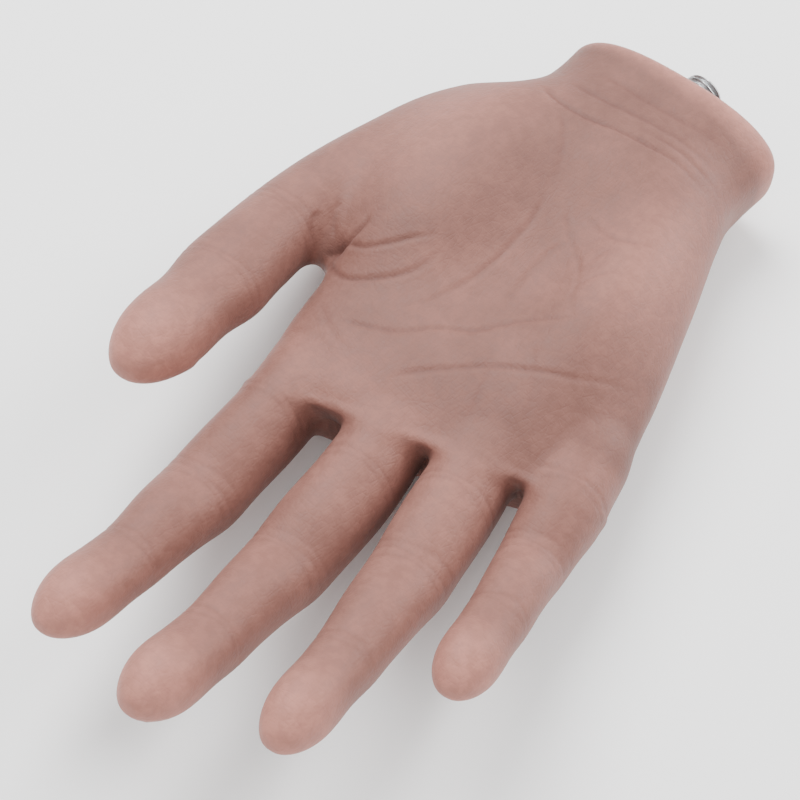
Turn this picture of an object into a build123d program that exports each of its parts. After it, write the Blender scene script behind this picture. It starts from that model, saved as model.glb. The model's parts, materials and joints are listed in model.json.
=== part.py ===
from build123d import *
# Posable passive prosthetic hand, right, adult medium: silicone skin over a hinged metal armature.
#
# Row frame, millimetres: origin at the centre of the wrist disc's outer face, +Y out along the forearm,
# +Z out of the palm, -X towards the thumb. Every finger segment has a frame of its own, with x along the
# segment towards the tip, y across it along the hinge axis and z out of its palm side.
import os
from math import cos, radians, sin, tan

# ---- driving dimensions -------------------------------------------------------------------------
SKIN_WALL = 2.6          # silicone thickness over the palm and the cuff
GAP = 0.3                # running gap between skins that move on each other
LINK_WIDTH = 6.4         # across a fork's two ears
TONGUE_WIDTH = 2.6
FORK_SLOT = 3.0
RING_RADIUS = 3.5        # rounded end of a link round its hinge
LINK_HEIGHT = 5.0
PIN_RADIUS = 1.2
PIN_RUNNING = 0.05       # radial clearance of a pin in a tongue
PIN_HEAD_RADIUS = 2.0
PIN_HEAD = 0.6
HINGE_POCKET_RADIUS = 4.0
HINGE_POCKET_WIDTH = 9.0
SLOT_DEPTH = 4.1         # from the hinge to the bottom of a fork's slot
FRAME_THICKNESS = 3.0    # plate of the palm frame
DISC_THICKNESS = 8.0
STUD_RADIUS = 6.0        # M12 stud
STUD_NECK_RADIUS = 5.2   # thread relief where the stud enters the disc
STUD_NECK = 2.0
STUD_CHAMFER = 1.0
SPOT_FACE_RADIUS = 11.0  # shallow recess round the stud in the disc's outer face
SPOT_FACE = 1.0
NUT_ACROSS_FLATS = 19.0
NUT_HEIGHT = 10.0
WASHER_RADIUS = 12.0
WASHER_THICKNESS = 2.5
NUT_ROOM = 24.0          # length of the cut-out of the frame's plate round the nut
NUT_ROOM_WIDTH = 28.0
STUD_PAST_NUT = 1.5
SCREW_RADIUS = 2.0
SCREW_HEAD_RADIUS = 3.5
SCREW_HEAD = 2.6
SCREW_SOCKET = 2.5
SCREW_FLOOR = 0.6        # of a screw's head, under its socket
SCREW_LENGTH = 24.0
SCREW_PLACES = [(-16.5, 6.5), (-16.5, -7.5), (16, 6.5), (16, -7.5)]
FLANGE_HALF_WIDTH = 12.5
FLANGE_HEIGHT = 26.0
FORK_ARM = 22.0          # from the end of a fork's arm in the plate to its hinge
LUG_ARM = 20.0
STUB_LENGTH = 18.0       # how far a finger's root is carried back into the palm
ROOT_SIDE_GAP = 1.0
TIP_LINK = 0.5           # of the tip segment's length
WAIST = 0.95             # a segment's middle, of its near end
END_WALL = 5.0           # silicone between the palm's core and the webs
FACE_GAP = 0.05          # between the skin and the core that it is pulled over
CORE_TOP = 8.8           # height of the core's flat palm side, under the hollow of the palm
CORE_STEP_Y = -27.0      # where that flat begins, past the wrist nut
STUD_REACH = 20.0        # how far the stud stands out of the wrist disc
NAIL_THICKNESS = 0.8
NAIL_WIDTH = 1.3         # of the tip pad's half width
NAIL_LENGTH = 0.46       # of the tip segment's length
NAIL_CENTRE = 0.66       # of the tip segment's length, from its hinge

# Palm and cuff cross-sections, from the cuff's rim to the finger webs: centre x and y, the turn of the
# section's normal from -Y towards +X in degrees, half width, lowest z and highest z.
PALM_SECTIONS = [
    (-1.5, 8.5, -2.0, 32.5, -17.5, 17.0),
    (-0.5, -6.0, 0.0, 31.0, -17.5, 16.5),
    (0.5, -20.0, 6.0, 33.5, -18.0, 17.5),
    (7.0, -46.0, 12.0, 38.5, -18.0, 18.5),
    (15.5, -76.5, 16.0, 41.0, -16.0, 15.5),
    (22.5, -101.0, 20.0, 40.5, -14.0, 12.5),
    (24.5, -110.5, 24.0, 39.0, -12.5, 11.0),
]
CUFF_END_Y = -14.0       # where the cuff's band ends and the palm's skin starts

# Finger: root hinge (x, y, z), turn from -Y towards +X, then for each segment its rise out of the palm
# plane at rest, its length, and half width and half depth at its near end; last the tip pad's sizes.
FINGERS = {
    "index": dict(root=(-2.6, -126.9, -1.2), turn=11.7, rise=(3.0, 14.0, 22.0), length=(20.2, 21.7, 25.8),
                  width=(10.0, 9.2, 7.9), depth=(9.5, 8.6, 7.2), pad=(8.4, 6.8)),
    "middle": dict(root=(22.4, -124.9, -0.4), turn=13.7, rise=(4.0, 20.0, 27.0), length=(21.2, 25.5, 25.0),
                   width=(10.2, 9.4, 8.2), depth=(9.6, 8.8, 7.4), pad=(8.9, 7.0)),
    "ring": dict(root=(43.0, -114.9, 1.0), turn=16.8, rise=(10.0, 17.5, 21.5), length=(16.4, 25.7, 24.9),
                 width=(9.8, 9.0, 7.8), depth=(9.2, 8.4, 7.0), pad=(8.0, 6.5)),
    "pinky": dict(root=(57.8, -97.2, 0.2), turn=19.0, rise=(8.0, 18.0, 18.5), length=(13.2, 17.3, 22.0),
                  width=(9.0, 8.2, 7.1), depth=(8.6, 7.6, 6.4), pad=(7.6, 6.0)),
}
THUMB = dict(root=(-38.7, -88.3, 4.0), turn=14.1, rise=(12.0, 15.0), length=(23.7, 34.8),
             width=(10.2, 10.2), depth=(10.4, 9.6), pad=(10.6, 8.2))
# Thumb base cross-sections along the thumb's metacarpal: centre x, y, z, half width, half depth.
THUMB_BASE_SECTIONS = [
    (-33.0, -10.0, -3.0, 7.0, 10.0),
    (-36.0, -32.0, -2.0, 12.5, 15.0),
    (-38.5, -54.0, -1.0, 13.0, 15.0),
    (-39.8, -74.0, 1.5, 12.0, 12.5),
    (-38.9, -90.5, 4.2, 10.4, 10.6),
]
THUMB_BASE_TURN, THUMB_BASE_RISE = 0.0, 8.0
# Outline of the palm frame's plate
FRAME_OUTLINE = [(-12.5, -9), (12.5, -9), (17, -40), (28, -60), (50, -74), (55, -88), (40, -98), (24, -104),
                 (2, -106), (-10, -104), (-14, -80), (-17, -64), (-17, -38)]
SWING_POINT = (-33.3, -50.0, 0.0)    # on the thumb's swing axis
SWING_TURN = 14.4        # of the axis from -Y towards +X
SWING_REACH = (-27.0, 50.0)          # stretch of the axis where the thumb's base is a piece of its own
SWING_BARREL = 20.0      # length of the bracket's barrel on the swing pin
SWING_LUG = 6.0          # length of each of the frame's two lugs beside it
SWING_RADIUS = 4.0
SWING_PIN_RADIUS = 1.6
SWING_PIN_HEAD = 0.8     # how far the swing pin's heads stand out round it
SWING_END_ROOM = 1.5     # past each lug, for the swing pin's heads
BRACKET_INSET = 1.5      # of the bracket's arm from the swing axis, towards the thumb
BRACKET_FOOT = (9.0, 4.0)            # stretch of the barrel that the bracket's arm grows from
BRACKET_SHOULDER = 4.0   # step of the arm's end along the thumb

# Bend of each hinge from straight, in degrees: furthest back and furthest in.
ROOT_BEND = (-8.0, 32.0)
MIDDLE_BEND = (-4.0, 60.0)
TIP_BEND = (-6.0, 42.0)
THUMB_ROOT_BEND = (-10.0, 28.0)
THUMB_TIP_BEND = (-12.0, 45.0)
SWING_BACK, SWING_IN = 9.0, 15.0    # degrees the thumb's base swings away from the palm and in over it

os.makedirs("parts", exist_ok=True)


# ---- frames -------------------------------------------------------------------------------------
def segment_frame(origin, turn, rise):
    """Frame of a segment that starts at origin, turned from -Y towards +X and raised out of the palm."""
    t, r = radians(turn), radians(rise)
    along = Vector(sin(t) * cos(r), -cos(t) * cos(r), sin(r))
    across = Vector(cos(t), sin(t), 0)
    return Plane(origin=origin, x_dir=along, z_dir=along.cross(across))


def cross_plane(frame, x, z=0.0):
    """Plane across a segment at distance x: its x is the segment's y and its y the segment's z."""
    origin = frame.origin + frame.x_dir * x + frame.z_dir * z
    return Plane(origin=origin, x_dir=frame.y_dir, z_dir=frame.x_dir)


def side_plane(frame, x=0.0):
    """Plane along a segment, seen from its side: its x is the segment's x and its y the segment's z."""
    return Plane(origin=frame.origin + frame.x_dir * x, x_dir=frame.x_dir, z_dir=-frame.y_dir)


def finger_frames(spec):
    """Frames at a finger's hinges, from its root outwards, and last one at its tip."""
    frames = []
    point = Vector(*spec["root"])
    for rise, length in zip(spec["rise"], spec["length"]):
        frame = segment_frame(point, spec["turn"], rise)
        frames.append(frame)
        point = frame.origin + frame.x_dir * length
    frames.append(Plane(origin=point, x_dir=frames[-1].x_dir, z_dir=frames[-1].z_dir))
    return frames


SWING = segment_frame(SWING_POINT, SWING_TURN, 0.0)


def save(part, name):
    """Labels a finished piece and writes it as one STEP file."""
    part.label = name
    export_step(part, f"parts/{name}.step")


# ---- armature -----------------------------------------------------------------------------------
def link_fork(frame, length):
    """Fork whose hinge is at distance length along the frame."""
    with BuildPart() as fork:
        with BuildSketch(side_plane(frame, length)):
            Circle(RING_RADIUS)
            with Locations((-SLOT_DEPTH / 2 - 0.5, 0)):
                Rectangle(SLOT_DEPTH + 1, LINK_HEIGHT)
            Circle(PIN_RADIUS, mode=Mode.SUBTRACT)
        extrude(amount=LINK_WIDTH / 2, both=True)
        with BuildSketch(side_plane(frame, length)):
            Rectangle(2 * SLOT_DEPTH, 2 * RING_RADIUS + 1)
        extrude(amount=FORK_SLOT / 2, both=True, mode=Mode.SUBTRACT)
    return fork.part


def hinge_link(frame, length, forked):
    """Flat link: a tongue at its near hinge, a bar, and a fork at its far hinge if forked."""
    bar_start = SLOT_DEPTH + GAP
    bar_end = length - SLOT_DEPTH if forked else length
    with BuildPart() as link:
        with BuildSketch(side_plane(frame)):
            Circle(RING_RADIUS)
            with Locations((bar_start / 2 + 0.5, 0)):
                Rectangle(bar_start + 1, LINK_HEIGHT)
            Circle(PIN_RADIUS + PIN_RUNNING, mode=Mode.SUBTRACT)
        extrude(amount=TONGUE_WIDTH / 2, both=True)
        with BuildSketch(side_plane(frame, (bar_start + bar_end) / 2)):
            Rectangle(bar_end - bar_start, LINK_HEIGHT)
        extrude(amount=LINK_WIDTH / 2, both=True)
        if forked:
            add(link_fork(frame, length))
    return link.part


def hinge_pins(frames, pin_radius=PIN_RADIUS, width=LINK_WIDTH):
    """Riveted hinge pins, one at each frame's origin, along its y, with a head outside each ear."""
    with BuildPart() as pins:
        for frame in frames:
            with BuildSketch(side_plane(frame)):
                Circle(pin_radius)
            extrude(amount=width / 2 + PIN_HEAD / 2, both=True)
            for side in (1, -1):
                face = side_plane(frame).offset(side * width / 2)
                with BuildSketch(face):
                    Circle(pin_radius + PIN_HEAD_RADIUS - PIN_RADIUS)
                extrude(amount=side * PIN_HEAD)
    return pins.part


# ---- silicone skins ---------------------------------------------------------------------------------
def hinge_outline(length, near, far, reach):
    """Side view of a segment's skin as points, cut back at each hinge so that it can bend.

    near and far are the (back, in) bends of the hinges at its ends, or None for a closed end.
    """
    points = []
    if near:
        back, inward = (radians(b) / 2 for b in near)
        points += [(GAP + reach * tan(-back), -reach), (GAP, 0), (GAP + reach * tan(inward), reach)]
    else:
        points += [(-reach, -reach), (-reach, reach)]
    if far:
        back, inward = (radians(b) / 2 for b in far)
        points += [(length - GAP - reach * tan(inward), reach), (length - GAP, 0),
                   (length - GAP - reach * tan(-back), -reach)]
    else:
        points += [(length + reach, reach), (length + reach, -reach)]
    return points


def segment_skin(frame, sections, length, near, far, link):
    """Skin of one finger segment: lofted ellipses, cut back at the hinges, with pockets for the link."""
    reach = 24.0
    with BuildPart() as skin:
        for x, half_width, half_depth in sections:
            with BuildSketch(cross_plane(frame, x)):
                Ellipse(half_width, half_depth)
        loft()
        with BuildSketch(side_plane(frame)):
            Polygon(*hinge_outline(length, near, far, reach), align=None)
        extrude(amount=reach, both=True, mode=Mode.INTERSECT)
        hinges = [0.0, length] if far else [0.0]
        for x in hinges:
            with BuildSketch(side_plane(frame, x)):
                Circle(HINGE_POCKET_RADIUS)
            extrude(amount=HINGE_POCKET_WIDTH / 2, both=True, mode=Mode.SUBTRACT)
        add(link, mode=Mode.SUBTRACT)
    return skin.part


def tip_sections(length, width, depth, pad):
    """Sections of a fingertip: the pad is at two thirds of its length, and it closes as a dome."""
    return [(-1.0, width, depth), (0.36 * length, 0.98 * pad[0], 0.5 * (depth + pad[1])),
            (0.66 * length, 0.98 * pad[0], pad[1]), (0.86 * length, 0.78 * pad[0], 0.80 * pad[1]),
            (0.96 * length, 0.46 * pad[0], 0.48 * pad[1]), (length, 0.16 * pad[0], 0.16 * pad[1])]


def lofted(frame, sections, inset=0.0):
    """Solid through elliptical sections, each smaller by inset all round."""
    with BuildPart() as body:
        for x, half_width, half_depth in sections:
            with BuildSketch(cross_plane(frame, x)):
                Ellipse(max(half_width - inset, 0.4), max(half_depth - inset, 0.4))
        loft()
    return body.part


def nail_outline(frame, length, pad):
    """Prism over the back of a fingertip, in the nail's outline."""
    nail_width = NAIL_WIDTH * pad[0]
    with BuildPart() as outline:
        with BuildSketch(frame):
            with Locations((NAIL_CENTRE * length, 0)):
                RectangleRounded(NAIL_LENGTH * length, nail_width, 0.3 * nail_width)
        extrude(amount=-2 * pad[0])
    return outline.part


def fingertip(frame, length, width, depth, pad, near, link):
    """Skin of a fingertip and its nail, which lies let into the skin's back."""
    sections = tip_sections(length, width, depth, pad)
    whole = segment_skin(frame, sections, length, near, None, link)
    with BuildPart() as nail:
        add(whole)
        add(nail_outline(frame, length, pad), mode=Mode.INTERSECT)
        add(lofted(frame, sections, NAIL_THICKNESS), mode=Mode.SUBTRACT)
    with BuildPart() as skin:
        add(whole)
        add(nail.part, mode=Mode.SUBTRACT)
    return skin.part, nail.part


# ---- palm ---------------------------------------------------------------------------------------
def palm_section(plane, half_width, half_depth):
    """Closed outline of the palm across the hand: an ellipse with fuller corners."""
    across, up = 0.8 * half_width, 0.68 * half_depth
    with BuildSketch(plane) as section:
        with BuildLine():
            Spline((half_width, 0), (across, up), (0, half_depth), (-across, up), (-half_width, 0),
                   (-across, -up), (0, -half_depth), (across, -up), periodic=True)
        make_face()
    return section.sketch


def palm_body(wall=0.0, end_wall=0.0):
    """Palm and cuff lofted through their cross-sections, smaller by wall all round."""
    sections = []
    for x, y, turn, half_width, low, high in PALM_SECTIONS:
        frame = segment_frame((x, y, (low + high) / 2), turn, 0.0)
        back_off = end_wall if y == PALM_SECTIONS[-1][1] else 0.0
        sections.append(palm_section(cross_plane(frame, -back_off), half_width - wall,
                                     (high - low) / 2 - wall))
    return loft(sections)


def core_room(wall, end_wall, gap=0.0):
    """Space inside the palm's skin, flat on the palm side beyond the wrist."""
    with BuildPart() as room:
        add(palm_body(wall, end_wall))
        with BuildSketch(Plane.XY.offset(CORE_TOP - gap)):
            with Locations((0, CORE_STEP_Y + gap - 100)):
                Rectangle(300, 200)
        extrude(amount=30, mode=Mode.SUBTRACT)
    return room.part


def slab(low, high):
    """Everything between two distances along Y."""
    with BuildPart() as box:
        with BuildSketch(Plane.XZ.offset(-high)):
            Rectangle(300, 300)
        extrude(amount=high - low)
    return box.part


def swing_region(side, start_gap=0.0):
    """Wedge on the thumb's side of the swing axis, short of the axis (side -1) or past it (side 1)."""
    reach = 70.0
    inward, back = (reach * tan(radians(swing / 2)) for swing in (SWING_IN, SWING_BACK))
    outline = [(side * GAP, 0), (side * (GAP + inward), reach), (-2 * reach, reach), (-2 * reach, -reach),
               (side * (GAP + back), -reach)]
    start, end = SWING_REACH
    with BuildPart() as wedge:
        with BuildSketch(cross_plane(SWING, start + start_gap)):
            Polygon(*outline, align=None)
        extrude(amount=end - start)
    return wedge.part


def round_swing_axis(radius, start, end):
    """Cylinder on the thumb's swing axis."""
    with BuildPart() as cylinder:
        with BuildSketch(cross_plane(SWING, start)):
            Circle(radius)
        extrude(amount=end - start)
    return cylinder.part


def finger_region(spec):
    """Everything beyond a finger's root hinge, which the palm leaves free."""
    frame = segment_frame(spec["root"], spec["turn"], 0.0)
    reach = 40.0
    back, inward = (radians(b) / 2 for b in ROOT_BEND)
    outline = [(-GAP - reach * tan(inward), reach), (-GAP, 0), (-GAP - reach * tan(-back), -reach),
               (reach, -reach), (reach, reach)]
    with BuildPart() as region:
        with BuildSketch(side_plane(frame)):
            Polygon(*outline, align=None)
        extrude(amount=spec["width"][0] + ROOT_SIDE_GAP, both=True)
        with BuildSketch(side_plane(frame)):
            Circle(HINGE_POCKET_RADIUS)
        extrude(amount=HINGE_POCKET_WIDTH / 2, both=True)
    return region.part


def finger_stub(spec):
    """Root of a finger on the palm, from inside the palm to the root hinge."""
    frame = segment_frame(spec["root"], spec["turn"], 0.0)
    half_width, half_depth = spec["width"][0], spec["depth"][0]
    return lofted(frame, [(-STUB_LENGTH, half_width, half_depth), (4.0, half_width, half_depth)])


# ---- palm frame, wrist and thumb bracket ----------------------------------------------------------------
def palm_frame():
    """Flat plate with a flange at the wrist, a fork for each finger and two lugs for the thumb."""
    with BuildPart() as frame:
        with BuildSketch(Plane.XY.offset(-FRAME_THICKNESS / 2)):
            Polygon(*FRAME_OUTLINE, align=None)
        extrude(amount=FRAME_THICKNESS)
        with BuildSketch(Plane.XY.offset(-FRAME_THICKNESS / 2)):
            with Locations((0, -DISC_THICKNESS - FRAME_THICKNESS - NUT_ROOM / 2)):
                Rectangle(NUT_ROOM_WIDTH, NUT_ROOM)
        extrude(amount=FRAME_THICKNESS, mode=Mode.SUBTRACT)
        with BuildSketch(Plane.XZ.offset(DISC_THICKNESS)):
            RectangleRounded(2 * FLANGE_HALF_WIDTH, FLANGE_HEIGHT, 4)
        extrude(amount=FRAME_THICKNESS)
        with BuildSketch(Plane.XZ.offset(DISC_THICKNESS)):
            Circle(STUD_RADIUS)
        extrude(amount=FRAME_THICKNESS, mode=Mode.SUBTRACT)
        for spec in FINGERS.values():
            arm = segment_frame(spec["root"], spec["turn"], 0.0)
            arm = Plane(origin=arm.origin - arm.x_dir * FORK_ARM, x_dir=arm.x_dir, z_dir=arm.z_dir)
            with BuildSketch(side_plane(arm)):
                with Locations(((FORK_ARM - SLOT_DEPTH) / 2, 0)):
                    Rectangle(FORK_ARM - SLOT_DEPTH, LINK_HEIGHT)
            extrude(amount=LINK_WIDTH / 2, both=True)
            add(link_fork(arm, FORK_ARM))
        for side in (-1, 1):
            start = side * (SWING_BARREL / 2 + GAP)
            with BuildSketch(cross_plane(SWING, start)):
                Circle(SWING_RADIUS)
                with Locations((LUG_ARM / 2, 0)):
                    Rectangle(LUG_ARM, FRAME_THICKNESS)
                Circle(SWING_PIN_RADIUS, mode=Mode.SUBTRACT)
            extrude(amount=side * SWING_LUG)
    return frame.part


def thumb_bracket(base):
    """Barrel on the swing pin, with an arm to the fork of the thumb's root hinge."""
    arm = Plane(origin=base.origin - base.x_dir * FORK_ARM, x_dir=base.x_dir, z_dir=base.z_dir)
    elbow = arm.origin
    with BuildPart() as bracket:
        with BuildSketch(cross_plane(SWING, -SWING_BARREL / 2)):
            Circle(SWING_RADIUS)
        extrude(amount=SWING_BARREL)
        with BuildSketch(Plane.XY.offset(elbow.Z - LINK_HEIGHT / 2)):
            x, y, _ = SWING_POINT
            Polygon((x - BRACKET_INSET, y + BRACKET_FOOT[0]), (x - BRACKET_INSET, y - BRACKET_FOOT[1]),
                    (elbow.X + LINK_WIDTH / 2, elbow.Y - BRACKET_SHOULDER),
                    (elbow.X - LINK_WIDTH / 2, elbow.Y), align=None)
        extrude(amount=LINK_HEIGHT)
        with BuildSketch(side_plane(arm)):
            with Locations(((FORK_ARM - SLOT_DEPTH) / 2, 0)):
                Rectangle(FORK_ARM - SLOT_DEPTH, LINK_HEIGHT)
        extrude(amount=LINK_WIDTH / 2, both=True)
        add(link_fork(arm, FORK_ARM))
        with BuildSketch(cross_plane(SWING, -SWING_BARREL / 2)):
            Circle(SWING_PIN_RADIUS + PIN_RUNNING)
        extrude(amount=SWING_BARREL, mode=Mode.SUBTRACT)
    return bracket.part


# ---- fingers ------------------------------------------------------------------------------------
def make_digit(name, frames, spec, near_bends, segment_names):
    """All moving pieces of one finger or the thumb, segment by segment, each saved as a node."""
    widths, depths, lengths = spec["width"], spec["depth"], spec["length"]
    count = len(lengths)
    for i, segment in enumerate(segment_names):
        frame, length, near = frames[i], lengths[i], near_bends[i]
        if i < count - 1:
            link = hinge_link(frame, length, True)
            sections = [(-1, widths[i], depths[i]), (0.5 * length, WAIST * widths[i], WAIST * depths[i]),
                        (length + 1, widths[i + 1], depths[i + 1])]
            skin = segment_skin(frame, sections, length, near, near_bends[i + 1], link)
            far_hinge = frame.origin + frame.x_dir * length
            pin = hinge_pins([Plane(origin=far_hinge, x_dir=frame.x_dir, z_dir=frame.z_dir)])
            save(pin, f"{name}_{segment_names[i + 1]}_pin")
        else:
            link = hinge_link(frame, TIP_LINK * length, False)
            skin, nail = fingertip(frame, length, widths[i], depths[i], spec["pad"], near, link)
            save(nail, f"{name}_nail")
        save(link, f"{name}_{segment}_link")
        save(skin, f"{name}_{segment}_skin")


for finger, finger_spec in FINGERS.items():
    make_digit(finger, finger_frames(finger_spec), finger_spec, (ROOT_BEND, MIDDLE_BEND, TIP_BEND),
               ("proximal", "middle", "distal"))
make_digit("thumb", finger_frames(THUMB), THUMB, (THUMB_ROOT_BEND, THUMB_TIP_BEND),
           ("proximal", "distal"))

# ---- thumb base ------------------------------------------------------------------------------------
thumb_base_frame = segment_frame(THUMB["root"], THUMB["turn"], THUMB_BASE_RISE)
with BuildPart() as bracket:
    add(thumb_bracket(thumb_base_frame))
save(bracket.part, "thumb_bracket")
save(hinge_pins([thumb_base_frame]), "thumb_root_pin")

with BuildPart() as mound:
    for x, y, z, half_width, half_depth in THUMB_BASE_SECTIONS:
        with BuildSketch(cross_plane(segment_frame((x, y, z), THUMB_BASE_TURN, THUMB_BASE_RISE), 0)):
            Ellipse(half_width, half_depth)
    loft()

with BuildPart() as thumb_base:
    add(mound.part)
    add(swing_region(-1, GAP), mode=Mode.INTERSECT)
    with BuildSketch(side_plane(thumb_base_frame)):
        Polygon(*hinge_outline(0.0, None, THUMB_ROOT_BEND, 90.0), align=None)
    extrude(amount=90, both=True, mode=Mode.INTERSECT)
    with BuildSketch(side_plane(thumb_base_frame)):
        Circle(HINGE_POCKET_RADIUS)
    extrude(amount=HINGE_POCKET_WIDTH / 2, both=True, mode=Mode.SUBTRACT)
    lug_end = SWING_BARREL / 2 + SWING_LUG + SWING_END_ROOM
    add(round_swing_axis(SWING_RADIUS + GAP, -lug_end, lug_end), mode=Mode.SUBTRACT)
    add(bracket.part, mode=Mode.SUBTRACT)
save(thumb_base.part, "thumb_base_skin")

# ---- palm, cuff and wrist ---------------------------------------------------------------------------
with BuildPart() as frame_plate:
    add(palm_frame())
save(frame_plate.part, "palm_frame")
save(hinge_pins([segment_frame(spec["root"], spec["turn"], 0.0) for spec in FINGERS.values()]),
     "finger_root_pins")

with BuildPart() as swing_pin:
    half = SWING_BARREL / 2 + GAP + SWING_LUG
    add(round_swing_axis(SWING_PIN_RADIUS, -half - PIN_HEAD / 2, half + PIN_HEAD / 2))
    add(round_swing_axis(SWING_PIN_RADIUS + SWING_PIN_HEAD, -half - PIN_HEAD, -half))
    add(round_swing_axis(SWING_PIN_RADIUS + SWING_PIN_HEAD, half, half + PIN_HEAD))
save(swing_pin.part, "thumb_swing_pin")

outer = palm_body()
inner = palm_body(SKIN_WALL, END_WALL)
with BuildPart() as cuff:
    add(outer)
    add(slab(CUFF_END_Y, 60), mode=Mode.INTERSECT)
    add(inner, mode=Mode.SUBTRACT)
save(cuff.part, "cuff_skin")

with BuildPart() as palm:
    add(outer)
    add(mound.part)
    add(slab(-200, CUFF_END_Y), mode=Mode.INTERSECT)
    for spec in FINGERS.values():
        add(finger_stub(spec))
    add(core_room(SKIN_WALL, END_WALL), mode=Mode.SUBTRACT)
    add(swing_region(1), mode=Mode.SUBTRACT)
    for spec in FINGERS.values():
        add(finger_region(spec), mode=Mode.SUBTRACT)
    add(frame_plate.part, mode=Mode.SUBTRACT)
    add(round_swing_axis(SWING_RADIUS + GAP, -lug_end, lug_end), mode=Mode.SUBTRACT)
save(palm.part, "palm_skin")

with BuildPart() as disc:
    add(palm_body(SKIN_WALL + FACE_GAP, END_WALL))
    add(slab(-DISC_THICKNESS, 0), mode=Mode.INTERSECT)
    with BuildSketch(Plane.XZ.offset(-1)):
        Circle(STUD_RADIUS)
        with Locations(*SCREW_PLACES):
            Circle(SCREW_RADIUS)
    extrude(amount=DISC_THICKNESS + 2, mode=Mode.SUBTRACT)
    with BuildSketch(Plane.XZ):
        with Locations(*SCREW_PLACES):
            Circle(SCREW_HEAD_RADIUS)
    extrude(amount=SCREW_HEAD, mode=Mode.SUBTRACT)
    with BuildSketch(Plane.XZ):
        Circle(SPOT_FACE_RADIUS)
    extrude(amount=SPOT_FACE, mode=Mode.SUBTRACT)
save(disc.part, "wrist_disc")

with BuildPart() as stud:
    stud_inner = DISC_THICKNESS + FRAME_THICKNESS + WASHER_THICKNESS + NUT_HEIGHT + STUD_PAST_NUT
    with BuildSketch(Plane.XZ.offset(-STUD_REACH)):
        Circle(STUD_RADIUS)
    extrude(amount=STUD_REACH + stud_inner)
    chamfer(stud.edges().group_by(Axis.Y)[-1], STUD_CHAMFER)
    with BuildSketch(Plane.XZ.offset(SPOT_FACE)):
        Circle(STUD_RADIUS)
        Circle(STUD_NECK_RADIUS, mode=Mode.SUBTRACT)
    extrude(amount=STUD_NECK, mode=Mode.SUBTRACT)
save(stud.part, "wrist_stud")

with BuildPart() as washer:
    with BuildSketch(Plane.XZ.offset(DISC_THICKNESS + FRAME_THICKNESS)):
        Circle(WASHER_RADIUS)
        Circle(STUD_RADIUS, mode=Mode.SUBTRACT)
    extrude(amount=WASHER_THICKNESS)
save(washer.part, "wrist_washer")

with BuildPart() as nut:
    with BuildSketch(Plane.XZ.offset(DISC_THICKNESS + FRAME_THICKNESS + WASHER_THICKNESS)):
        RegularPolygon(NUT_ACROSS_FLATS / 2, 6, major_radius=False)
        Circle(STUD_RADIUS, mode=Mode.SUBTRACT)
    extrude(amount=NUT_HEIGHT)
save(nut.part, "wrist_nut")

with BuildPart() as screws:
    with BuildSketch(Plane.XZ):
        with Locations(*SCREW_PLACES):
            Circle(SCREW_HEAD_RADIUS)
    extrude(amount=SCREW_HEAD)
    with BuildSketch(Plane.XZ.offset(SCREW_HEAD)):
        with Locations(*SCREW_PLACES):
            Circle(SCREW_RADIUS)
    extrude(amount=SCREW_LENGTH - SCREW_HEAD)
    with BuildSketch(Plane.XZ):
        with Locations(*SCREW_PLACES):
            RegularPolygon(SCREW_SOCKET / 2, 6, major_radius=False)
    extrude(amount=SCREW_HEAD - SCREW_FLOOR, mode=Mode.SUBTRACT)
save(screws.part, "disc_screws")

with BuildPart() as core:
    add(core_room(SKIN_WALL + FACE_GAP, END_WALL + FACE_GAP, FACE_GAP))
    add(slab(-200, -DISC_THICKNESS), mode=Mode.INTERSECT)
    add(swing_region(1), mode=Mode.SUBTRACT)
    for spec in FINGERS.values():
        add(finger_region(spec), mode=Mode.SUBTRACT)
    add(round_swing_axis(SWING_RADIUS + GAP, -lug_end, lug_end), mode=Mode.SUBTRACT)
    add(frame_plate.part, mode=Mode.SUBTRACT)
    with BuildSketch(Plane.XZ.offset(DISC_THICKNESS)):
        Circle(WASHER_RADIUS + 1)
    extrude(amount=stud_inner - DISC_THICKNESS + 1, mode=Mode.SUBTRACT)
    add(screws.part, mode=Mode.SUBTRACT)
save(core.part, "palm_core")
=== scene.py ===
import json

import bpy
import numpy as np
from mathutils import Matrix, Vector


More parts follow.
